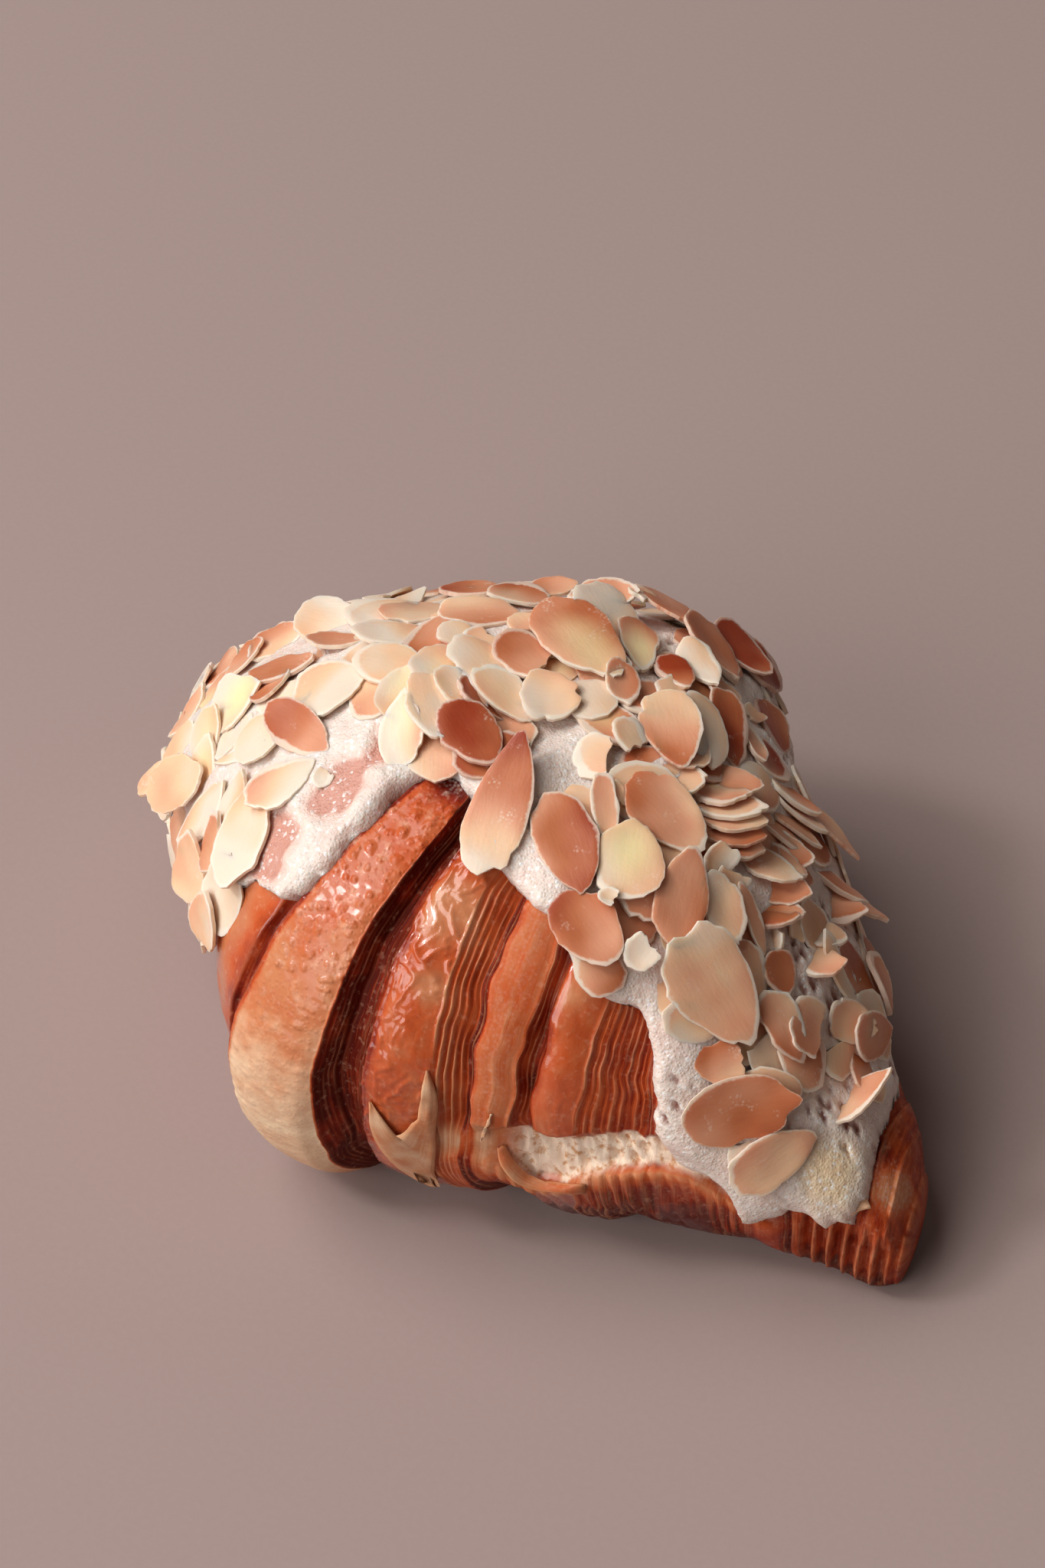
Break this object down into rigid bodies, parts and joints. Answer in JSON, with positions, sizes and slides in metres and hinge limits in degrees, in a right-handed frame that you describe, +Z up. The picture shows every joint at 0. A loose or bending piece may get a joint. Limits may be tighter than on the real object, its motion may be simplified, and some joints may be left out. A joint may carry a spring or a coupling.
{
  "type": "almond croissant",
  "caption": "Curved laminated croissant with stepped crust bands, a split lip along its front and a coat of almond cream set with flaked almonds.",
  "frame": {"origin": "centre of the outline at the flat base that it rests on", "axes": "+X from the far horn to the near horn, +Z up, the convex side that shows its bands faces -Y"},
  "size_m": [0.1684, 0.1172, 0.0757],
  "materials": {
    "baked_crust": "glossy golden brown crust, matte and pale where the crumb shows",
    "almond_cream": "matte grainy cream with satin toasted almond flakes"
  },
  "bodies": {
    "root": {"croissant": "baked_crust", "almond_topping": "almond_cream"}
  },
  "joints": []
}
